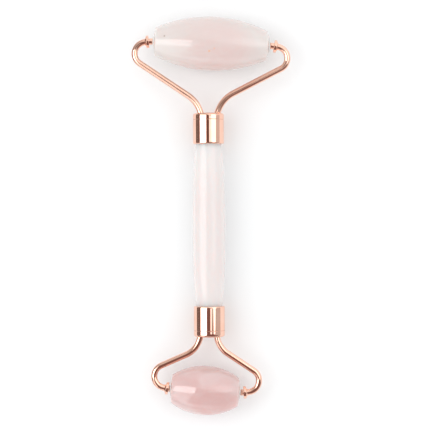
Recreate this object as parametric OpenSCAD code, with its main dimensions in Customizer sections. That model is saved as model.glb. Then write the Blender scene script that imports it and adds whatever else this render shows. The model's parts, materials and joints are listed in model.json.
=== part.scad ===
// Face roller: a barrel-shaped stone handle with a wire fork at each end.
// Each fork carries a stone roller that turns on two pins in flanged bushes.
// The tool lies on its two rollers: +Z up, +Y towards the large roller, floor at Z = 0.

/* [Handle] */
// Distance between the outer faces of the two ferrules
grip_length = 80.5; // [74:0.5:90]
// Diameter of the handle stone at its middle
grip_mid_d = 11.6; // [10.6:0.1:13]
// Diameter of the handle stone inside the ferrules
grip_end_d = 9.4; // [9:0.1:9.4]
// How long the handle stone stays full before it tapers
grip_fullness = 3; // [2:0.25:4]
// Length of handle stone hidden in each ferrule
tenon_length = 4.7; // [4:0.1:5]

/* [Ferrules] */
// Outer diameter of both ferrules
ferrule_d = 11.2; // [11:0.1:12.5]
// Bore of the ferrule sleeves
ferrule_bore_d = 9.5; // [9.5:0.05:9.7]
// Length of each ferrule, sleeve and end cap together
ferrule_length = 11.1; // [10.6:0.1:12]
// Height of the end cap that shows beyond the sleeve
cap_rim = 2.3; // [2:0.1:2.6]
// Length of the end cap's spigot inside the sleeve
cap_spigot = 1.5; // [1.2:0.1:1.6]
// Radius of the shoulder at the fork end of each ferrule
shoulder_r = 0.9; // [0.5:0.1:1]
// Bevel on both edges of the seam between sleeve and end cap
seam_bevel = 0.1; // [0.05:0.05:0.2]

/* [Fork wire] */
// Diameter of the fork wire
wire_d = 2.3; // [2:0.1:2.4]
// Distance of each wire from the handle axis where it leaves the ferrule
foot_x = 3; // [2.9:0.1:3.2]
// Length of wire fixed inside the ferrule
foot_depth = 5.6; // [5:0.1:5.6]
// Radius of the hook beside each roller end, at the wire's centre
hook_r = 4.2; // [3.9:0.1:4.2]
// Angle between each wire's end, where it carries the collar, and the roller's axis
toe = 7; // [5:0.5:8]
// Depth in the ferrule of the point that each fork leans about
lean_pivot = 4; // [0:0.5:5]
// How much thinner the turned pins are than the wire
pin_step = 0.1; // [0.1:0.05:0.4]
// How far each pin reaches into the stone
pin_reach = 5.4; // [4.5:0.1:5.6]

/* [Large fork] */
// Distance from the ferrule face to the large roller's axis
large_reach = 25; // [24.7:0.05:26]
// Distance from the fork's middle to the outermost wire centre
large_half_width = 27.5; // [27.3:0.1:28]
// Angle between each wire's foot and the handle axis
large_splay = 18; // [16:1:19]
// Angle between the left arm's slope and the roller's axis
large_left_slope = 31.6; // [29:0.2:32]
// Angle between the right arm's slope and the roller's axis
large_right_slope = 29.4; // [29:0.2:32]
// Radius of the lower bend
large_bend_r = 11; // [8:0.5:11]
// How far the large fork leans to one side
large_lean = 2.35; // [0:0.05:3.5]

/* [Small fork] */
// Distance from the ferrule face to the small roller's axis
small_reach = 19.4; // [19.2:0.05:20]
// Distance from the fork's middle to the outermost wire centre
small_half_width = 18.9; // [18.8:0.1:19.3]
// Angle between each wire's foot and the handle axis
small_splay = 14; // [13:1:19]
// Angle between the left arm's slope and the roller's axis
small_left_slope = 26.6; // [26:0.2:31]
// Angle between the right arm's slope and the roller's axis
small_right_slope = 30.6; // [26:0.2:31]
// Radius of the lower bend
small_bend_r = 8.5; // [7:0.5:9]
// How far the small fork leans to one side
small_lean = 3.3; // [0:0.05:3.5]

/* [Large roller] */
// Diameter of the large roller at its middle
large_d = 19.4; // [18:0.1:20]
// Length of the large roller stone over its domed ends
large_length = 42; // [40:0.1:42.2]
// Diameter of the rim around each domed end
large_end_d = 10.3; // [9:0.1:12]
// Height of each domed end
large_dome = 0.85; // [0.4:0.05:1]

/* [Small roller] */
// Diameter of the small roller at its middle
small_d = 17.7; // [16:0.1:18.3]
// Length of the small roller stone over its domed ends
small_length = 25.2; // [23.5:0.1:25.2]
// Diameter of the rim around each domed end
small_end_d = 10.2; // [9:0.1:11]
// Height of each domed end
small_dome = 0.6; // [0.4:0.05:0.8]
// How far the small roller has slid towards its left collar
small_slide = 0.3; // [0:0.05:0.3]

/* [Both rollers] */
// Length of the straight band around the middle of each roller
belly_land = 2; // [1:0.5:4]

/* [Collars and bushes] */
// Diameter of the collar's disc
collar_d = 4.5; // [4.2:0.1:4.7]
// Thickness of the collar's disc
collar_disc = 1; // [0.7:0.1:1]
// Length of the whole collar, disc and cone
collar_length = 1.4; // [1.2:0.1:1.4]
// Distance from the large fork's middle to each collar's inner face
large_collar_x = 22.5; // [22.2:0.05:22.55]
// Distance from the small fork's middle to each collar's inner face
small_collar_x = 13.5; // [13.35:0.05:13.6]
// Outer diameter of the bushes
bush_d = 3.6; // [3.4:0.1:4]
// Length of each bush behind its flange
bush_length = 6.2; // [6:0.1:6.6]
// Diameter of the bush flange
flange_d = 4.4; // [4.2:0.1:4.8]
// Thickness of the bush flange
flange_t = 0.35; // [0.25:0.05:0.4]
// Radial running clearance between pin and bush
pin_clearance = 0.05; // [0.03:0.01:0.08]

/* [Hidden] */
$fn = 96;
bond_gap = 0.05;      // solder or glue film around a fixed wire
seat_gap = 0.02;      // glue film around a bush, and at each face that is bonded
mouth_bevel = 0.4;    // broken edge at the sleeve's open end
lap = 0.05;           // how far straight wire runs on inside a bend
bend_swell = 0.01;    // how much thicker the wire's radius gets where it is bent
knee_room = 0.55;     // from a stone's end to the knee where the wire turns in line with it
rim_land = 0.15;      // flat ring between a stone's barrel and its domed end
spot_face = 0.25;     // depth of the flat seat cut for each bush flange
bush_hole_extra = 0.4;
grip_bands = 16;      // straight bands in each half of the handle stone

stone_pink = [0.93, 0.85, 0.84];
roller_pink = [0.92, 0.81, 0.80];
rose_gold = [0.86, 0.60, 0.49];
bush_white = [0.94, 0.92, 0.89];
glue_amber = [0.85, 0.78, 0.62];

face_y = grip_length / 2;
mouth_y = face_y - ferrule_length;
wire_r = wire_d / 2;
pin_d = wire_d - pin_step;
large_knee_x = large_length / 2 + knee_room;
small_knee_x = small_length / 2 + small_slide + knee_room;

// The handle tips a little, because the small roller holds its end lower than the large one does.
large_axis_y = face_y - lean_pivot + (large_reach + lean_pivot) * cos(large_lean);
small_axis_y = face_y - lean_pivot + (small_reach + lean_pivot) * cos(small_lean);
tip = asin((large_d - small_d) / 2 / (large_axis_y + small_axis_y));
axis_z = large_d / 2 - large_axis_y * sin(tip);

// Middle of the whole outline, seen from above
large_hook_y = large_reach - hook_drop(large_half_width - hook_r, large_knee_x);
centre_x = (large_hook_y + lean_pivot) * sin(large_lean);
centre_y = (large_axis_y + large_d / 2 - small_axis_y - small_d / 2) / 2;

function cross2(a, b) = a[0] * b[1] - a[1] * b[0];
function along(deg) = [cos(deg), sin(deg)];
// Distance from the roller's axis back to the hook's centre
function hook_drop(hook_x, knee_x) = (hook_r + (hook_x - knee_x) * sin(toe)) / cos(toe);
// Radius of the handle stone at fraction t of its visible half length
function grip_r(t) = grip_mid_d / 2 - (grip_mid_d - grip_end_d) / 2 * pow(abs(t), grip_fullness);

module in_place() {
    translate([-centre_x, -centre_y, axis_z]) rotate([tip, 0, 0]) children();
}

// Frame of an end: origin at the ferrule's outer face, +Y away from the handle
module large_end() { in_place() translate([0, face_y, 0]) children(); }
module small_end() { in_place() rotate([0, 0, 180]) translate([0, face_y, 0]) children(); }
module leaned(lean) {
    translate([0, -lean_pivot, 0]) rotate([0, 0, -lean]) translate([0, lean_pivot, 0]) children();
}
module large_fork() { large_end() leaned(large_lean) children(); }
module small_fork() { small_end() leaned(small_lean) children(); }

// Turns a shape made along Z so that it lies along Y or along X
module along_y() { rotate([-90, 0, 0]) children(); }
module along_x() { rotate([0, 90, 0]) children(); }

// Straight piece of wire from a point in the plane of the fork
module wire_run(from, deg, length, d = wire_d) {
    translate([from[0], from[1], 0]) rotate([0, 0, deg]) along_x() cylinder(d = d, h = length);
}

// Bent piece of wire around a centre in the plane of the fork
module wire_bend(centre, radius, start, sweep) {
    translate([centre[0], centre[1], 0]) rotate([0, 0, start])
        rotate_extrude(angle = sweep) translate([radius, 0]) circle(d = wire_d + 2 * bend_swell);
}

// Right-hand arm of a fork: foot, lower bend, slope, hook, toed-out end, knee and turned pin
module fork_arm(reach, half_width, splay, slope, bend_r, knee_x, pin_tip_x) {
    foot = [foot_x, 0];
    leg = along(90 - splay);
    run = along(slope);
    turn = 90 - splay - slope;
    hook_x = half_width - hook_r;
    hook = [hook_x, reach - hook_drop(hook_x, knee_x)];
    hook_end = hook + hook_r * along(90 - toe);
    knee = [knee_x, reach];
    touch = hook + hook_r * along(slope - 90);
    leg_to_corner = cross2(touch - foot, run) / cross2(leg, run);
    corner = foot + leg_to_corner * leg;
    trim = bend_r * tan(turn / 2);
    bend_start = corner - trim * leg;
    bend_end = corner + trim * run;
    union() {
        wire_run(foot - foot_depth * leg, 90 - splay, foot_depth + leg_to_corner - trim + lap);
        wire_bend(bend_start + bend_r * along(-splay), bend_r, slope + 90, turn);
        wire_run(bend_end - lap * run, slope, norm(touch - bend_end) + 2 * lap);
        wire_bend(hook, hook_r, slope - 90, 180 - slope - toe);
        wire_run(knee, -toe, norm(hook_end - knee) + lap);
        translate([knee_x, reach, 0]) rotate([0, 90, 0]) sphere(wire_r + bend_swell);
        wire_run([pin_tip_x, reach], 0, knee_x - pin_tip_x, pin_d);
    }
}

// Sleeve of a ferrule: open at the handle side, seam at the end cap
module ferrule_sleeve() {
    ro = ferrule_d / 2;
    ri = ferrule_bore_d / 2;
    color(rose_gold) along_y() rotate_extrude() polygon([
        [ri, -ferrule_length], [ro - mouth_bevel, -ferrule_length],
        [ro, -ferrule_length + mouth_bevel], [ro, -cap_rim - seam_bevel],
        [ro - seam_bevel, -cap_rim], [ri, -cap_rim]
    ]);
}

// End cap of a ferrule, with a spigot into the sleeve and two splayed holes for the wires
module ferrule_cap(lean, splay) {
    ro = ferrule_d / 2;
    rs = ferrule_bore_d / 2 - seat_gap;
    low = -cap_rim + seat_gap;
    color(rose_gold) difference() {
        along_y() rotate_extrude() {
            polygon([
                [0, low - cap_spigot], [rs, low - cap_spigot], [rs, low], [ro - seam_bevel, low],
                [ro, low + seam_bevel], [ro, -shoulder_r], [ro - shoulder_r, -shoulder_r],
                [ro - shoulder_r, 0], [0, 0]
            ]);
            intersection() {
                translate([ro - shoulder_r, -shoulder_r]) circle(shoulder_r);
                translate([ro - shoulder_r, -shoulder_r]) square(shoulder_r);
            }
        }
        leaned(lean) foot_holes(splay, cap_rim + cap_spigot + 2);
    }
}

// The two holes that the wire feet are fixed in
module foot_holes(splay, depth) {
    for (side = [-1, 1])
        wire_run([side * (foot_x + tan(splay)), 1], 270 - side * splay, depth + 1,
                 wire_d + 2 * bond_gap);
}

// Adhesive that fills the sleeve between the end cap and the handle stone
module ferrule_adhesive(lean, splay) {
    top = -cap_rim - cap_spigot;
    low = -ferrule_length + tenon_length + seat_gap;
    color(glue_amber) difference() {
        translate([0, low, 0]) along_y() cylinder(r = ferrule_bore_d / 2 - seat_gap, h = top - low);
        leaned(lean) for (side = [-1, 1])
            wire_run([side * foot_x, 0], 270 - side * splay, foot_depth + seat_gap,
                     wire_d + 2 * seat_gap);
    }
}

// Collar on the wire: a disc next to the roller and a cone towards the hook
module collar() {
    color(rose_gold) rotate_extrude() polygon([
        [wire_r + bond_gap, 0], [collar_d / 2 - 0.15, 0], [collar_d / 2, 0.15],
        [collar_d / 2, collar_disc - 0.15], [collar_d / 2 - 0.15, collar_disc],
        [wire_r + 0.6, collar_disc], [wire_r + 0.25, collar_length],
        [wire_r + bond_gap, collar_length]
    ]);
}

// Half outline of a roller stone: barrel arc with a straight band in the middle, and a
// shallow dome on each end
module barrel_outline(mid_r, end_r, half_length, dome) {
    rim = half_length - dome;
    drop = mid_r - end_r;
    arc_x = (mid_r + end_r) / 2 - (rim * rim - pow(belly_land / 2, 2)) / (2 * drop);
    arc_r = norm([end_r - arc_x, rim]);
    dome_end = end_r - rim_land;
    dome_r = (dome_end * dome_end + dome * dome) / (2 * dome);
    intersection() {
        translate([arc_x, 0]) circle(arc_r);
        translate([0, -rim]) square([mid_r, 2 * rim]);
    }
    for (side = [0, 1]) mirror([0, side]) intersection() {
        translate([0, half_length - dome_r]) circle(dome_r);
        translate([0, rim]) square([end_r + 1, dome + 1]);
    }
}

// Roller stone with a flat seat and a blind hole for a bush at each end
module roller_stone(d, end_d, length, dome) {
    seat = length / 2 - spot_face;
    color(roller_pink) along_x() difference() {
        rotate_extrude($fn = 180) barrel_outline(d / 2, end_d / 2, length / 2, dome);
        for (side = [0, 1]) mirror([0, 0, side]) {
            translate([0, 0, seat]) cylinder(d = flange_d + 0.3, h = 2);
            translate([0, 0, seat - bush_length - bush_hole_extra])
                cylinder(d = bush_d + 2 * seat_gap, h = bush_length + 2);
        }
    }
}

// Flanged bush, flange outwards
module bush() {
    ri = pin_d / 2 + pin_clearance;
    color(bush_white) rotate_extrude() polygon([
        [ri, -bush_length], [bush_d / 2, -bush_length], [bush_d / 2, seat_gap],
        [flange_d / 2, seat_gap], [flange_d / 2, flange_t], [ri, flange_t]
    ]);
}

// Places a piece made along Z at distance x from the fork's middle, pointing outwards to that side
module on_roller_axis(side, reach, x) {
    translate([side * x, reach, 0]) rotate([0, side * 90, 0]) children();
}

// The same on a wire's toed-out end, which starts at the knee
module on_wire_end(side, reach, knee_x, x) {
    translate([side * knee_x, reach, 0]) rotate([0, 0, -side * toe])
        translate([side * (x - knee_x), 0, 0]) rotate([0, side * 90, 0]) children();
}

module handle_stone() {
    color(stone_pink) in_place() along_y() rotate_extrude() polygon(concat(
        [[0, -mouth_y - tenon_length], [grip_end_d / 2, -mouth_y - tenon_length]],
        [for (i = [-grip_bands:grip_bands]) [grip_r(i / grip_bands), mouth_y * i / grip_bands]],
        [[grip_end_d / 2, mouth_y + tenon_length], [0, mouth_y + tenon_length]]
    ));
}

module large_end_sleeve() { large_end() ferrule_sleeve(); }
module small_end_sleeve() { small_end() ferrule_sleeve(); }
module large_end_cap() { large_end() ferrule_cap(large_lean, large_splay); }
module small_end_cap() { small_end() ferrule_cap(small_lean, small_splay); }
module large_end_adhesive() { large_end() ferrule_adhesive(large_lean, large_splay); }
module small_end_adhesive() { small_end() ferrule_adhesive(small_lean, small_splay); }

module large_arm(slope) {
    color(rose_gold) fork_arm(large_reach, large_half_width, large_splay, slope, large_bend_r,
                              large_knee_x, large_length / 2 - pin_reach);
}
module small_arm(slope) {
    color(rose_gold) fork_arm(small_reach, small_half_width, small_splay, slope, small_bend_r,
                              small_knee_x, small_length / 2 - pin_reach);
}
module large_fork_right_arm() { large_fork() large_arm(large_right_slope); }
module large_fork_left_arm() { large_fork() mirror([1, 0, 0]) large_arm(large_left_slope); }
module small_fork_left_arm() { small_fork() small_arm(small_left_slope); }
module small_fork_right_arm() { small_fork() mirror([1, 0, 0]) small_arm(small_right_slope); }

module large_collar(side) {
    large_fork() on_wire_end(side, large_reach, large_knee_x, large_collar_x) collar();
}
module small_collar(side) {
    small_fork() on_wire_end(side, small_reach, small_knee_x, small_collar_x) collar();
}
module large_left_collar() { large_collar(-1); }
module large_right_collar() { large_collar(1); }
module small_left_collar() { small_collar(1); }
module small_right_collar() { small_collar(-1); }

module large_roller_stone() {
    large_fork() translate([0, large_reach, 0])
        roller_stone(large_d, large_end_d, large_length, large_dome);
}
module large_left_bush() {
    large_fork() on_roller_axis(-1, large_reach, large_length / 2 - spot_face) bush();
}
module large_right_bush() {
    large_fork() on_roller_axis(1, large_reach, large_length / 2 - spot_face) bush();
}
module small_roller_stone() {
    small_fork() translate([small_slide, small_reach, 0])
        roller_stone(small_d, small_end_d, small_length, small_dome);
}
module small_left_bush() {
    small_fork() translate([small_slide, 0, 0])
        on_roller_axis(1, small_reach, small_length / 2 - spot_face) bush();
}
module small_right_bush() {
    small_fork() translate([small_slide, 0, 0])
        on_roller_axis(-1, small_reach, small_length / 2 - spot_face) bush();
}

handle_stone();
large_end_sleeve();
large_end_cap();
large_end_adhesive();
small_end_sleeve();
small_end_cap();
small_end_adhesive();
large_fork_left_arm();
large_fork_right_arm();
small_fork_left_arm();
small_fork_right_arm();
large_left_collar();
large_right_collar();
small_left_collar();
small_right_collar();
large_roller_stone();
large_left_bush();
large_right_bush();
small_roller_stone();
small_left_bush();
small_right_bush();
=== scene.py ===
"""Looks of the face roller: rose quartz stones, polished rose-gold metal, pale studio floor.

Pieces are built in millimetres in the frame of the end or fork that they belong to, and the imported
record's mounts and joints place those frames. Stones, ferrules, wires and collars are fine meshes
that replace their CAD nodes. The bushes and the adhesive keep theirs.
"""
import json
import math

import bmesh
import bpy
from mathutils import Matrix, Vector, noise


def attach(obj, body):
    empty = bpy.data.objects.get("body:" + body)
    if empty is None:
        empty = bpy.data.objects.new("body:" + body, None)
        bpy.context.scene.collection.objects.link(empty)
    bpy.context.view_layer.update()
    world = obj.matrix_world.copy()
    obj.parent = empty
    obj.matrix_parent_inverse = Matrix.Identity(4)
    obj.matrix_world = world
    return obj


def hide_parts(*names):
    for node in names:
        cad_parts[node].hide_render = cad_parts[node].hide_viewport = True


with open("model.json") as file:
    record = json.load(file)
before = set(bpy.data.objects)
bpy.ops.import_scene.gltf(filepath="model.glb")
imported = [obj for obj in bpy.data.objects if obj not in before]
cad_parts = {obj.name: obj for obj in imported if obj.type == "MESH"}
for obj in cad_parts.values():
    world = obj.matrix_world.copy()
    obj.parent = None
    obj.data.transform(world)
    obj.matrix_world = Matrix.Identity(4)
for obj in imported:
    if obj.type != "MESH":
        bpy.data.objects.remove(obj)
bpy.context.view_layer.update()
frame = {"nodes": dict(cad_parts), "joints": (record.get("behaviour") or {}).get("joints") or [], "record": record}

MM = 0.001
TAU = 2 * math.pi

# Sizes in mm and angles in degrees, as in part.scad. Handle and ferrules:
GRIP_LENGTH, GRIP_MID_R, GRIP_END_R, GRIP_FULLNESS, TENON = 80.5, 5.8, 4.7, 3, 4.7
FERRULE_R, FERRULE_BORE_R, FERRULE_LENGTH = 5.6, 4.75, 11.1
CAP_RIM, CAP_SPIGOT, SHOULDER_R = 2.3, 1.5, 0.9
MOUTH_ROUND, SEAM_ROUND = 0.45, 0.1
FERRULE_MOUNT_DEPTH = 6.65
MOUTH_Y = GRIP_LENGTH / 2 - FERRULE_LENGTH
TENON_CHAMFER = 0.3

# Fork wires, and how much a bend flattens them
WIRE_R, PIN_R, PIN_REACH, HOOK_R = 1.15, 1.1, 5.4, 4.2
FOOT_X, FOOT_DEPTH, TOE, KNEE_ROOM = 3.0, 5.6, 7, 0.55
KNEE_LENGTH, STEP_LENGTH, PIN_CHAMFER, WIRE_WAVER = 0.35, 0.05, 0.15, 0.008
BEND_FLATTENING, HOOK_FLATTENING = 0.015, 0.03

# Collars, and the rollers' seats for their bushes
COLLAR_R, COLLAR_DISC, COLLAR_LENGTH, COLLAR_ROUND = 2.25, 1.0, 1.4, 0.15
COLLAR_GAP, CONE_FOOT, CONE_TOP, CONE_ROUND = 0.05, 0.6, 0.25, 0.08
FLANGE_R, BUSH_R, BUSH_DEPTH, SPOT_FACE = 2.2, 1.8, 6.6, 0.25
BOND_GAP, SEAT_ROOM, RIM_ROUND = 0.02, 0.15, 0.4
RIM_LAND, BELLY_LAND = 0.15, 2.0

FORKS = {
    "large": dict(reach=25.0, half_width=27.5, splay=18, bend_r=11, collar_x=22.5,
                  left_slope=31.6, right_slope=29.4, roller_length=42, slide=0,
                  roller_r=9.7, rim_r=5.15, dome=0.85),
    "small": dict(reach=19.4, half_width=18.9, splay=14, bend_r=8.5, collar_x=13.5,
                  left_slope=26.6, right_slope=30.6, roller_length=25.2, slide=0.3,
                  roller_r=8.85, rim_r=5.1, dome=0.6),
}


# ---------------------------------------------------------------- frames

def axes_frame(origin, x_axis, y_axis, z_axis):
    """Matrix of a frame with its origin in mm."""
    rows = [[x_axis[i], y_axis[i], z_axis[i], origin[i]] for i in range(3)]
    return Matrix(rows + [[0, 0, 0, 1]])


def in_mm(point_m):
    return Vector(point_m) / MM


JOINTS = {j["name"]: j for j in frame["joints"]}
MOUNTS = {m["name"]: m for m in frame["record"]["mounts"]}
HANDLE_AXIS = Vector(MOUNTS["large_end_ferrule"]["axis"]).normalized()
TIPPED_UP = Vector((1, 0, 0)).cross(HANDLE_AXIS).normalized()


def ferrule_frame(end):
    """Origin at the ferrule's outer face, +Y away from the handle."""
    mount = MOUNTS[end + "_end_ferrule"]
    out = Vector(mount["axis"]).normalized()
    face = in_mm(mount["pos_m"]) + FERRULE_MOUNT_DEPTH * out
    return axes_frame(face, out.cross(TIPPED_UP), out, TIPPED_UP)


def fork_frame(end):
    """Origin in the middle of the roller's axis, +X along it, +Y away from the handle."""
    joint = JOINTS[end + "_roller_spin"]
    along = Vector(joint["axis"]).normalized() * (1 if end == "large" else -1)
    along = (along - along.dot(TIPPED_UP) * TIPPED_UP).normalized()
    return axes_frame(in_mm(joint["pos_m"]), along, TIPPED_UP.cross(along), TIPPED_UP)


def handle_frame():
    """Origin halfway between the ferrules, +Y towards the large end."""
    large, small = (in_mm(MOUNTS[e + "_end_ferrule"]["pos_m"]) for e in ("large", "small"))
    return axes_frame((large + small) / 2, HANDLE_AXIS.cross(TIPPED_UP), HANDLE_AXIS, TIPPED_UP)


ALONG_Y = Matrix.Rotation(math.radians(-90), 4, "X")
ALONG_X = Matrix.Rotation(math.radians(90), 4, "Y")


def local_side(end, side):
    """Local X sign of the left or right side: the small end's frame is turned half round."""
    return (1 if side == "right" else -1) * (1 if end == "large" else -1)


# ---------------------------------------------------------------- mesh building

def rounded(corners, steps=6):
    """Outline through corners (r, z, fillet), each fillet an arc with a support point beside it."""
    outline = []
    for i, (r, z, fillet) in enumerate(corners):
        point = Vector((r, z))
        if not fillet:
            outline.append((r, z))
            continue
        before = (Vector(corners[i - 1][:2]) - point).normalized()
        after = (Vector(corners[(i + 1) % len(corners)][:2]) - point).normalized()
        half = before.angle(after) / 2
        trim = fillet / math.tan(half)
        centre = point + (before + after).normalized() * fillet / math.sin(half)
        first, last = point + before * trim - centre, point + after * trim - centre
        turn = first.angle_signed(last)
        outline.append(tuple(centre + first + before * fillet * 0.5))
        for k in range(steps + 1):
            outline.append(tuple(centre + Matrix.Rotation(-turn * k / steps, 2) @ first))
        outline.append(tuple(centre + last + after * fillet * 0.5))
    return outline


def lathe(outline, sides, shape=None, loop=False):
    """Turns an outline of (r, z) about Z. shape(angle, z) scales the radius."""
    verts, faces, rings = [], [], []
    for r, z in outline:
        count = 1 if r < 1e-6 else sides
        rings.append(range(len(verts), len(verts) + count))
        for k in range(count):
            a = TAU * k / sides
            rr = r * shape(a, z) if shape else r
            verts.append((rr * math.cos(a), rr * math.sin(a), z))
    pairs = list(zip(rings, rings[1:])) + ([(rings[-1], rings[0])] if loop else [])
    for low, high in pairs:
        for k in range(sides):
            n = (k + 1) % sides
            if len(low) == 1:
                faces.append((low[0], high[n], high[k]))
            elif len(high) == 1:
                faces.append((low[k], low[n], high[0]))
            else:
                faces.append((low[k], low[n], high[n], high[k]))
    return verts, faces


def sweep(stations, sides):
    """Tube along stations (x, y, tangent angle, radius, flatness) in the XY plane, closed ends."""
    verts, faces = [], []
    for x, y, heading, radius, flat in stations:
        across = (-math.sin(heading), math.cos(heading))
        for k in range(sides):
            a = TAU * k / sides
            out, up = radius * flat * math.cos(a), radius * math.sin(a)
            verts.append((x + across[0] * out, y + across[1] * out, up))
    for i in range(len(stations) - 1):
        for k in range(sides):
            n = (k + 1) % sides
            a, b = i * sides, (i + 1) * sides
            faces.append((a + k, a + n, b + n, b + k))
    for start in (0, (len(stations) - 1) * sides):
        faces.append(tuple(range(start, start + sides)))
    return verts, faces


def piece(name, geometry, place, body, slot, material, *replaced):
    """Makes a smooth mesh from geometry in mm, and lets it ride and stand for its CAD nodes."""
    verts, faces = geometry
    mesh = bpy.data.meshes.new(name)
    mesh.from_pydata([(place @ Vector(v)) * MM for v in verts], [], faces)
    mesh.update()
    mesh.shade_smooth()
    mesh.materials.append(material)
    thing = bpy.data.objects.new(name, mesh)
    bpy.context.scene.collection.objects.link(thing)
    recalc_normals(mesh)
    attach(thing, body)
    if replaced:
        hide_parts(*replaced)
    return thing


def recalc_normals(mesh):
    shell = bmesh.new()
    shell.from_mesh(mesh)
    bmesh.ops.recalc_face_normals(shell, faces=shell.faces)
    shell.to_mesh(mesh)
    shell.free()


# ---------------------------------------------------------------- materials

def add(tree, kind, inputs=None, **settings):
    """New node: inputs are sockets to link or values to set, settings are the node's properties."""
    node = tree.nodes.new(kind)
    for key, value in settings.items():
        setattr(node, key, value)
    for key, value in (inputs or {}).items():
        if isinstance(value, bpy.types.NodeSocket):
            tree.links.new(value, node.inputs[key])
        else:
            node.inputs[key].default_value = value
    return node


def mix(tree, factor, a, b):
    """Colour from a to b as the factor goes from 0 to 1."""
    node = tree.nodes.new("ShaderNodeMix")
    node.data_type = "RGBA"
    for index, value in ((0, factor), (6, a), (7, b)):
        if isinstance(value, bpy.types.NodeSocket):
            tree.links.new(value, node.inputs[index])
        else:
            node.inputs[index].default_value = value
    return node.outputs[2]


def fit(tree, value, low, high, to_low, to_high):
    """Value stretched from one range to another and clamped to it."""
    node = add(tree, "ShaderNodeMapRange", {
        "Value": value, "From Min": low, "From Max": high, "To Min": to_low, "To Max": to_high})
    return node.outputs["Result"]


def maths(tree, operation, a, b):
    return add(tree, "ShaderNodeMath", {0: a, 1: b}, operation=operation).outputs[0]


def noise_at(tree, where, scale, detail=3, roughness=0.5, distortion=0.0):
    node = add(tree, "ShaderNodeTexNoise", {
        "Vector": where, "Scale": scale, "Detail": detail, "Roughness": roughness,
        "Distortion": distortion})
    return node.outputs[0]


def new_material(name):
    """Material with one Principled shader, and the coordinates in metres that its noise follows."""
    material = bpy.data.materials.new(name)
    material.use_nodes = True
    tree = material.node_tree
    tree.nodes.clear()
    shader = tree.nodes.new("ShaderNodeBsdfPrincipled")
    output = tree.nodes.new("ShaderNodeOutputMaterial")
    tree.links.new(shader.outputs[0], output.inputs[0])
    where = tree.nodes.new("ShaderNodeTexCoord").outputs["Object"]
    return material, tree, shader, where


def quartz(name, milky, body, deep, vein_scale, heart, heart_size, shine, inclusions=()):
    """Rose quartz: a deeper heart in a cloudy body, milky wisps, and specks (centre, radius, tint)."""
    material, tree, shader, where = new_material(name)
    clouds = noise_at(tree, where, vein_scale, 4, 0.5, 0.8)
    fine = noise_at(tree, where, vein_scale * 6, 4, 0.6, 0.6)
    wisps = maths(tree, "ABSOLUTE", maths(tree, "SUBTRACT",
                  noise_at(tree, where, vein_scale * 1.3, 2, 0.5, 1.6), 0.5), 0)
    away = add(tree, "ShaderNodeVectorMath", {0: where, 1: heart}, operation="DISTANCE")
    depth = maths(tree, "ADD", away.outputs["Value"], fit(tree, clouds, 0.3, 0.7, -0.004, 0.004))
    colour = mix(tree, fit(tree, clouds, 0.38, 0.66, 0, 0.7), body, milky)
    colour = mix(tree, fit(tree, depth, heart_size * 0.3, heart_size, 0.9, 0), colour, deep)
    colour = mix(tree, fit(tree, wisps, 0.0, 0.05, 0.16, 0), colour, milky)
    colour = mix(tree, fit(tree, fine, 0.45, 0.8, 0, 0.12), colour, milky)
    for centre, radius, tint in inclusions:
        near = add(tree, "ShaderNodeVectorMath", {0: where, 1: centre}, operation="DISTANCE")
        spot = fit(tree, near.outputs["Value"], radius * 0.4, radius, 0.85, 0)
        colour = mix(tree, spot, colour, tint)
    tree.links.new(colour, shader.inputs["Base Color"])
    tree.links.new(fit(tree, fine, 0.3, 0.7, 0.01, 0.03), shader.inputs["Roughness"])
    shader.inputs["IOR"].default_value = 1.54
    shader.inputs["Specular IOR Level"].default_value = shine
    shader.inputs["Subsurface Weight"].default_value = 0.9
    shader.inputs["Subsurface Radius"].default_value = (1.0, 0.75, 0.7)
    shader.inputs["Subsurface Scale"].default_value = 0.008
    return material


def rose_gold(name, colour, blush):
    """Polished rose-gold plate: faint hue drift, hairline scratches and a slightly uneven polish."""
    material, tree, shader, where = new_material(name)
    drift = noise_at(tree, where, 260, 3)
    tree.links.new(mix(tree, fit(tree, drift, 0.35, 0.7, 0, 1), colour, blush),
                   shader.inputs["Base Color"])
    stretch = add(tree, "ShaderNodeMapping", {"Vector": where, "Scale": (1, 0.06, 1)})
    hairlines = noise_at(tree, stretch.outputs[0], 5200, 4, 0.7)
    smears = noise_at(tree, where, 700, 3, 0.6, 0.8)
    polish = fit(tree, smears, 0.35, 0.75, 0.015, 0.05)
    scratched = fit(tree, hairlines, 0.58, 0.75, 0, 0.05)
    tree.links.new(maths(tree, "ADD", polish, scratched), shader.inputs["Roughness"])
    shader.inputs["Metallic"].default_value = 1.0
    bump = add(tree, "ShaderNodeBump",
               {"Height": hairlines, "Strength": 0.05, "Distance": 0.000004})
    tree.links.new(bump.outputs[0], shader.inputs["Normal"])
    return material


def moulded(name, colour, shade, roughness, subsurface):
    """Plain moulded or cast polymer with a little mottling and a fine matte grain."""
    material, tree, shader, where = new_material(name)
    mottle = noise_at(tree, where, 900, 4)
    grain = noise_at(tree, where, 6000, 3)
    tree.links.new(mix(tree, fit(tree, mottle, 0.3, 0.7, 0, 1), colour, shade),
                   shader.inputs["Base Color"])
    tree.links.new(fit(tree, grain, 0.3, 0.7, roughness, roughness + 0.12),
                   shader.inputs["Roughness"])
    shader.inputs["Subsurface Weight"].default_value = subsurface
    shader.inputs["Subsurface Radius"].default_value = (1.0, 0.9, 0.8)
    shader.inputs["Subsurface Scale"].default_value = 0.0006
    bump = add(tree, "ShaderNodeBump", {"Height": grain, "Strength": 0.2, "Distance": 0.00001})
    tree.links.new(bump.outputs[0], shader.inputs["Normal"])
    return material


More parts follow.
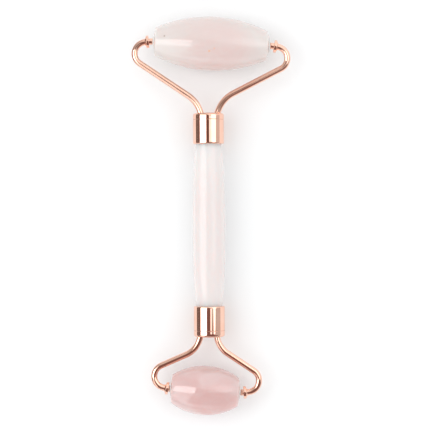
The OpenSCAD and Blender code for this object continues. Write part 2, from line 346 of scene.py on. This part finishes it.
# Places in the stones are in metres, where the object stands at rest
RUST, GRAPHITE = (0.78, 0.48, 0.28, 1), (0.40, 0.28, 0.23, 1)
LARGE_INCLUSIONS = [((-0.0006, 0.0586, 0.0188), 0.0005, RUST),
                    ((0.0012, 0.0595, 0.0191), 0.0003, RUST),
                    ((-0.0166, 0.0643, 0.0162), 0.00045, GRAPHITE),
                    ((-0.0170, 0.0570, 0.0121), 0.0004, GRAPHITE)]
HANDLE_QUARTZ = quartz(
    "rose_quartz_handle", milky=(0.74, 0.735, 0.725, 1), body=(0.735, 0.715, 0.705, 1),
    deep=(0.735, 0.685, 0.675, 1), vein_scale=50, heart=(0, -0.01, 0.01), heart_size=0.05, shine=0.3)
LARGE_QUARTZ = quartz(
    "rose_quartz_large_roller", milky=(0.71, 0.675, 0.652, 1), body=(0.70, 0.64, 0.62, 1),
    deep=(0.705, 0.57, 0.55, 1), vein_scale=45, heart=(0.001, 0.056, 0.013), heart_size=0.019,
    shine=0.5, inclusions=LARGE_INCLUSIONS)
SMALL_QUARTZ = quartz(
    "rose_quartz_small_roller", milky=(0.685, 0.55, 0.54, 1), body=(0.675, 0.48, 0.466, 1),
    deep=(0.645, 0.412, 0.394, 1), vein_scale=60, heart=(0.001, -0.064, 0.015), heart_size=0.012,
    shine=0.8)
GOLD = rose_gold("rose_gold_plate", (0.955, 0.575, 0.44, 1), (0.96, 0.62, 0.49, 1))
BUSH = moulded("bush_nylon", (0.92, 0.90, 0.88, 1), (0.88, 0.86, 0.84, 1), 0.35, 0.4)
RESIN = moulded("clear_resin", (0.72, 0.60, 0.40, 1), (0.64, 0.52, 0.33, 1), 0.15, 0.2)


# ---------------------------------------------------------------- stones

def hand_ground(depth, wave, seed):
    """Radius factor of a stone ground by hand: a little under size in soft, broad flats."""
    def shape(angle, z):
        at = Vector((math.cos(angle) * 1.3, math.sin(angle) * 1.3, z / wave + seed))
        return 1 - depth * (0.5 + 0.5 * noise.noise(at))
    return shape


def handle_outline():
    """Whole outline of the handle's stone: a slim barrel between the two tenons."""
    rings = 96
    half = [(GRIP_MID_R - (GRIP_MID_R - GRIP_END_R) * abs(i / rings) ** GRIP_FULLNESS,
             MOUTH_Y * i / rings) for i in range(-rings, rings + 1)]
    end = MOUTH_Y + TENON
    edge_r, edge = GRIP_END_R - TENON_CHAMFER, end - TENON_CHAMFER
    return ([(0, -end), (edge_r, -end), (GRIP_END_R, -edge)] + half
            + [(GRIP_END_R, edge), (edge_r, end), (0, end)])


def barrel_outline(fork):
    """Whole outline of a roller stone: hole, flange seat, dome, rounded rim, barrel arc."""
    mid, rim_r, half = fork["roller_r"], fork["rim_r"], fork["roller_length"] / 2
    rim = half - fork["dome"]
    arc_x = (mid + rim_r) / 2 - (rim ** 2 - (BELLY_LAND / 2) ** 2) / (2 * (mid - rim_r))
    arc_r = math.hypot(rim_r - arc_x, rim)
    dome_edge = rim_r - RIM_LAND
    dome_r = (dome_edge ** 2 + fork["dome"] ** 2) / (2 * fork["dome"])
    seat, seat_r = half - SPOT_FACE, FLANGE_R + SEAT_ROOM
    hole_r, hole_end = BUSH_R + BOND_GAP, half - SPOT_FACE - BUSH_DEPTH

    def dome_z(r):
        return half - dome_r + math.sqrt(dome_r ** 2 - r ** 2)

    end = [(0, hole_end, 0), (hole_r, hole_end, 0), (hole_r, seat, 0), (seat_r, seat, 0),
           (seat_r, dome_z(seat_r), 0.08)]
    steps = 7
    for k in range(1, steps):
        r = seat_r + (dome_edge - seat_r) * k / steps
        end.append((r, dome_z(r), 0))
    end.append((rim_r, rim, RIM_ROUND))
    rings = 72
    arc = []
    for k in range(1, rings):
        z = rim * (1 - 2 * k / rings)
        arc.append((min(mid, arc_x + math.sqrt(arc_r ** 2 - z ** 2)), z, 0))
    other = [(r, -z, fillet) for r, z, fillet in reversed(end)]
    return rounded(end + arc + other)


piece("handle_quartz", lathe(handle_outline(), 144, hand_ground(0.002, 24, 3)),
      handle_frame() @ ALONG_Y, "handle", "handle_quartz", HANDLE_QUARTZ, "handle_stone")
for end, quartz_look, seed in (("large", LARGE_QUARTZ, 11), ("small", SMALL_QUARTZ, 27)):
    fork = FORKS[end]
    piece(end + "_roller_quartz", lathe(barrel_outline(fork), 192, hand_ground(0.0025, 16, seed)),
          fork_frame(end) @ Matrix.Translation((fork["slide"], 0, 0)) @ ALONG_X,
          end + "_roller", "roller_quartz", quartz_look, end + "_roller_stone")


# ---------------------------------------------------------------- ferrules, wires, collars

def sleeve_outline():
    """Closed section of a ferrule's tube, from its mouth at the stone to the seam."""
    seam = -CAP_RIM
    return rounded([(FERRULE_BORE_R, -FERRULE_LENGTH, 0.1), (FERRULE_R, -FERRULE_LENGTH, MOUTH_ROUND),
                    (FERRULE_R, seam, SEAM_ROUND), (FERRULE_BORE_R, seam, 0.05)])


def cap_outline():
    """Outline of a ferrule's end cap, from its spigot in the sleeve to its outer face."""
    seam, spigot = -CAP_RIM + BOND_GAP, FERRULE_BORE_R - BOND_GAP
    corners = [(0, seam - CAP_SPIGOT, 0), (spigot, seam - CAP_SPIGOT, 0.1), (spigot, seam, 0),
               (FERRULE_R, seam, SEAM_ROUND), (FERRULE_R, 0, SHOULDER_R), (0, 0, 0)]
    return rounded(corners, steps=12)


def along(degrees):
    """Unit vector in the XY plane."""
    return Vector((math.cos(math.radians(degrees)), math.sin(math.radians(degrees))))


def knee_x(fork):
    """Where a wire's toed-out end turns in line with the roller's axis."""
    return fork["roller_length"] / 2 + fork["slide"] + KNEE_ROOM


def arm_stations(fork, side, slope):
    """Wire stations in the fork's frame, from the hidden foot to the tip of the turned pin."""
    reach, splay, bend_r = fork["reach"], fork["splay"], fork["bend_r"]
    foot, leg, run = Vector((FOOT_X, -reach)), along(90 - splay), along(slope)
    knee, toe = Vector((knee_x(fork), 0)), math.radians(TOE)
    hook_x = fork["half_width"] - HOOK_R
    hook = Vector((hook_x, -(HOOK_R + (hook_x - knee.x) * math.sin(toe)) / math.cos(toe)))
    touch = hook + HOOK_R * along(slope - 90)
    gap = touch - foot
    leg_length = (gap.x * run.y - gap.y * run.x) / (leg.x * run.y - leg.y * run.x)
    corner = foot + leg_length * leg
    trim = bend_r * math.tan(math.radians(90 - splay - slope) / 2)
    bend = corner - trim * leg + bend_r * along(-splay)
    points = []

    def straight(start, stop, heading, step=0.7):
        count = max(2, round((stop - start).length / step))
        points.extend((start.lerp(stop, k / count), heading, 1.0) for k in range(count))

    def arc(centre, radius, first, last, heading_offset, squeeze):
        count = max(6, round(abs(last - first) / 4))
        for k in range(count):
            t = k / count
            angle = first + (last - first) * t
            flat = 1 - squeeze * math.sin(math.pi * t) ** 0.5 if t else 1.0
            points.append((centre + radius * along(angle), angle + heading_offset, flat))

    straight(foot - FOOT_DEPTH * leg, corner - trim * leg, 90 - splay)
    arc(bend, bend_r, 180 - splay, slope + 90, -90, BEND_FLATTENING)
    straight(corner + trim * run, touch, slope)
    arc(hook, HOOK_R, slope - 90, 90 - TOE, 90, HOOK_FLATTENING)
    straight(hook + HOOK_R * along(90 - TOE), knee + KNEE_LENGTH * along(-TOE), 180 - TOE)
    tip = fork["roller_length"] / 2 - PIN_REACH
    stations = []
    for number, (at, heading, flat) in enumerate(points):
        ripple = 1 - WIRE_WAVER * (0.5 + 0.5 * noise.noise(Vector((number * 0.37, slope, reach))))
        stations.append((at.x, at.y, heading, WIRE_R * ripple, flat))
    stations.append((knee.x, 0, 180 - TOE / 2, WIRE_R, 1))
    stations += [(x, 0, 180, radius, 1) for x, radius in (
        (knee.x - KNEE_LENGTH + STEP_LENGTH, WIRE_R - 0.005), (knee.x - KNEE_LENGTH, PIN_R),
        (tip + PIN_CHAMFER, PIN_R), (tip, PIN_R - PIN_CHAMFER))]
    return [(side * x, y, math.radians(h if side > 0 else 180 - h), r, f)
            for x, y, h, r, f in stations]


def collar_outline():
    """Closed section of a collar: a disc, with a cone on the side away from the roller."""
    bore = WIRE_R + COLLAR_GAP
    return rounded([
        (bore, 0, 0), (COLLAR_R, 0, COLLAR_ROUND), (COLLAR_R, COLLAR_DISC, COLLAR_ROUND),
        (WIRE_R + CONE_FOOT, COLLAR_DISC, CONE_ROUND), (WIRE_R + CONE_TOP, COLLAR_LENGTH, CONE_ROUND),
        (bore, COLLAR_LENGTH, 0)])


for end, fork in FORKS.items():
    ferrule, arms = ferrule_frame(end), fork_frame(end)
    piece(end + "_sleeve", lathe(sleeve_outline(), 128, loop=True), ferrule @ ALONG_Y,
          "handle", "rose_gold", GOLD, end + "_end_sleeve")
    piece(end + "_cap", lathe(cap_outline(), 128), ferrule @ ALONG_Y,
          "handle", "rose_gold", GOLD, end + "_end_cap")
    for side in ("left", "right"):
        sign = local_side(end, side)
        piece(f"{end}_{side}_wire", sweep(arm_stations(fork, sign, fork[side + "_slope"]), 40),
              arms, "handle", "rose_gold", GOLD, f"{end}_fork_{side}_arm")
        knee = Matrix.Translation((sign * knee_x(fork), 0, 0))
        toe = Matrix.Rotation(math.radians(-TOE * sign), 4, "Z")
        slid = Matrix.Translation((sign * (fork["collar_x"] - knee_x(fork)), 0, 0))
        turned = Matrix.Rotation(math.radians(90 * sign), 4, "Y")
        piece(f"{end}_{side}_stop", lathe(collar_outline(), 64, loop=True),
              arms @ knee @ toe @ slid @ turned,
              "handle", "rose_gold", GOLD, f"{end}_{side}_collar")

for node in frame["nodes"].values():
    name = node.name
    if name.endswith(("_bush", "_adhesive")):
        node.data.materials.clear()
        node.data.materials.append(BUSH if name.endswith("_bush") else RESIN)


# ---------------------------------------------------------------- studio

# Camera, straight overhead. The frame's width is measured at the target.
CAMERA_TARGET = Vector((1.19, 0.355, 9.26)) * MM
CAMERA_DISTANCE, FRAME_WIDTH = 700 * MM, 154.8 * MM
CAMERA_ROLL = math.radians(-0.27)

# What reflections see of the room, and the even light that everything else gets from it
RIG_CENTRE, RIG_SIZE, RIG_TURN = (-0.075, 0, 0), (0.15, 0.30, 1), math.radians(29)
RIG_COLOUR, LEFT_WALL_COLOUR = (0.17, 0.10, 0.09, 1), (0.19, 0.15, 0.15, 1)
WALL_BRIGHT, WINDOW_GAIN, WINDOW_WAY = 0.86, 0.40, math.radians(60)
AMBIENT = 1.02

# Lights, cards and floor, in metres
LIGHT_DISTANCE = 0.9
KEY_SIZE, FILL_SIZE, FILL_FRONT_SIZE = (0.78, 0.49), (0.6, 0.6), (0.63, 0.6)
FLAG_HEIGHT, GAP_HEIGHT, TABLE_HEIGHT = 0.4, 0.39, 0.0003
FLAG_COLOUR, TABLE_COLOUR = (0.22, 0.13, 0.12), (0.20, 0.165, 0.155)
FLAG_CORNERS = [(-0.13, -0.025), (-0.15, -0.12), (-0.6, -1), (1.2, -1), (1.2, -0.35), (0.05, -0.035)]
GAP_END_X, TABLE_EDGE_X, TABLE_REACH = 0.136, -0.045, 1.2
FLOOR_SIZE, PAPER = 6.0, (0.915, 0.925, 0.93, 1)


def staged_card(name, corners):
    """Flat polygon of the studio, which isn't part of the object."""
    mesh = bpy.data.meshes.new(name)
    mesh.from_pydata(corners, [], [tuple(range(len(corners)))])
    card = bpy.data.objects.new(name, mesh)
    bpy.context.scene.collection.objects.link(card)
    return card


def studio_floor():
    floor = staged_card("floor", level_corners(rectangle(FLOOR_SIZE, FLOOR_SIZE), 0))
    material, _, shader, _ = new_material("studio_paper")
    shader.inputs["Base Color"].default_value = PAPER
    shader.inputs["Roughness"].default_value = 0.9
    shader.inputs["Specular IOR Level"].default_value = 0.1
    floor.data.materials.append(material)


def reflected_card(name, corners, strength=1.0, colour=(1, 1, 1)):
    """Card that only reflections show, as they do a studio's flags and softbox fronts."""
    card = staged_card(name, corners)
    material = bpy.data.materials.new(name)
    material.use_nodes = True
    tree = material.node_tree
    tree.nodes.clear()
    glow = add(tree, "ShaderNodeEmission", {"Color": (*colour, 1), "Strength": strength})
    tree.links.new(glow.outputs[0], tree.nodes.new("ShaderNodeOutputMaterial").inputs[0])
    material.cycles.emission_sampling = "NONE"
    card.data.materials.append(material)
    for kind in ("camera", "diffuse", "transmission", "volume_scatter", "shadow"):
        setattr(card, "visible_" + kind, False)


def leaned(x_angle, y_angle):
    """Direction from the object, leaned from overhead by degrees towards +X and +Y."""
    return Vector((math.tan(math.radians(x_angle)), math.tan(math.radians(y_angle)), 1)).normalized()


def facing_corners(way, turn, outline):
    """Corners of a flat outline that faces the object from a light's distance, turned by degrees."""
    across = Vector((0, 1, 0)).cross(way).normalized()
    up = way.cross(across)
    spin = Matrix.Rotation(math.radians(turn), 2)
    return [tuple(way * LIGHT_DISTANCE + across * p.x + up * p.y)
            for p in (spin @ Vector(corner) for corner in outline)]


def level_corners(corners, z):
    return [(x, y, z) for x, y in corners]


def rectangle(width, height):
    return [(x * width / 2, y * height / 2) for x, y in ((-1, -1), (1, -1), (1, 1), (-1, 1))]


def ellipse(width, height, sides=48):
    return [(width / 2 * math.cos(TAU * k / sides), height / 2 * math.sin(TAU * k / sides))
            for k in range(sides)]


def softbox(name, way, width, height, radiance):
    """Light that only lights: its front is a card, so that reflections are set on their own."""
    light = bpy.data.lights.new(name, "AREA")
    light.shape, light.size, light.size_y = "RECTANGLE", width, height
    light.energy = radiance * width * height * math.pi
    lamp = bpy.data.objects.new(name, light)
    bpy.context.scene.collection.objects.link(lamp)
    lamp.location = way * LIGHT_DISTANCE
    lamp.rotation_euler = way.to_track_quat("Z", "X").to_euler()
    lamp.visible_glossy = False


def rig_reach(tree, way):
    """1 at the edge of the dark oval that the camera and its rig make overhead."""
    bar = add(tree, "ShaderNodeMapping", {
        "Vector": way, "Location": RIG_CENTRE, "Rotation": (0, 0, RIG_TURN),
        "Scale": RIG_SIZE}, vector_type="TEXTURE").outputs[0]
    flat = add(tree, "ShaderNodeVectorMath", {0: bar, 1: (1, 1, 0)}, operation="MULTIPLY")
    return add(tree, "ShaderNodeVectorMath", {0: flat.outputs[0]}, operation="LENGTH").outputs["Value"]


def wall_brightness(tree, way):
    """The walls are brighter along one diagonal, where the windows are, than along the other."""
    level = add(tree, "ShaderNodeVectorMath", {0: way, 1: (1, 1, 0)}, operation="MULTIPLY")
    level = add(tree, "ShaderNodeVectorMath", {0: level.outputs[0]}, operation="NORMALIZE")
    sides = add(tree, "ShaderNodeMapping", {"Vector": level.outputs[0],
                                            "Rotation": (0, 0, -WINDOW_WAY)})
    sides = add(tree, "ShaderNodeSeparateXYZ", {0: sides.outputs[0]})
    windows = maths(tree, "SUBTRACT", maths(tree, "MULTIPLY", sides.outputs["X"], sides.outputs["X"]),
                    maths(tree, "MULTIPLY", sides.outputs["Y"], sides.outputs["Y"]))
    bright = maths(tree, "MULTIPLY_ADD", windows, WINDOW_GAIN)
    bright.node.inputs[2].default_value = WALL_BRIGHT
    return bright


def studio_world():
    """Reflections see walls, windows and a dark rig overhead. All else gets an even light."""
    world = bpy.data.worlds.new("studio")
    bpy.context.scene.world = world
    world.use_nodes = True
    tree = world.node_tree
    tree.nodes.clear()
    way = tree.nodes.new("ShaderNodeTexCoord").outputs["Generated"]
    x_way = add(tree, "ShaderNodeSeparateXYZ", {0: way}).outputs["X"]
    bright = wall_brightness(tree, way)
    walls = add(tree, "ShaderNodeCombineXYZ", {0: bright, 1: bright, 2: bright}).outputs[0]
    walls = mix(tree, fit(tree, rig_reach(tree, way), 0.85, 1.15, 1, 0), walls, RIG_COLOUR)
    walls = mix(tree, fit(tree, x_way, -0.92, -0.88, 1, 0), walls, LEFT_WALL_COLOUR)
    seen = tree.nodes.new("ShaderNodeLightPath").outputs["Is Glossy Ray"]
    colour = mix(tree, seen, (AMBIENT, AMBIENT, AMBIENT, 1), walls)
    back = add(tree, "ShaderNodeBackground", {"Color": colour, "Strength": 1.0})
    output = tree.nodes.new("ShaderNodeOutputWorld")
    tree.links.new(back.outputs[0], output.inputs[0])


def studio_camera():
    data = bpy.data.cameras.new("camera")
    data.sensor_fit = "HORIZONTAL"
    data.angle = 2 * math.atan(FRAME_WIDTH / 2 / CAMERA_DISTANCE)
    data.clip_start, data.clip_end = 0.01, 20
    camera = bpy.data.objects.new("camera", data)
    bpy.context.scene.collection.objects.link(camera)
    camera.location = CAMERA_TARGET + Vector((0, 0, CAMERA_DISTANCE))
    camera.rotation_euler = (0, 0, CAMERA_ROLL)
    bpy.context.scene.camera = camera


studio_floor()
studio_world()
softbox("key_left", leaned(-42, 7), *KEY_SIZE, radiance=1.35)
softbox("fill_right", leaned(38, 0), *FILL_SIZE, radiance=0.5)
reflected_card("key_front", facing_corners(leaned(-42, 2), -8, rectangle(*KEY_SIZE)), strength=3.5)
reflected_card("fill_front", facing_corners(leaned(38, 14), 0, ellipse(*FILL_FRONT_SIZE)), strength=2.1)
for name, x, low_y, high_y in (("large_gap", 0.035, 0.033, 0.055), ("small_gap", 0.049, -0.076, -0.054)):
    gap = [(x, low_y), (GAP_END_X, low_y), (GAP_END_X, high_y), (x, high_y)]
    reflected_card(name, level_corners(gap, GAP_HEIGHT), strength=1.5)
reflected_card("black_flag", level_corners(FLAG_CORNERS, FLAG_HEIGHT), colour=FLAG_COLOUR)
table = [(-TABLE_REACH, -1), (TABLE_EDGE_X, -1), (TABLE_EDGE_X, 1), (-TABLE_REACH, 1)]
reflected_card("dark_table", level_corners(table, TABLE_HEIGHT), colour=TABLE_COLOUR)
studio_camera()
bpy.context.scene.view_settings.view_transform = "Standard"
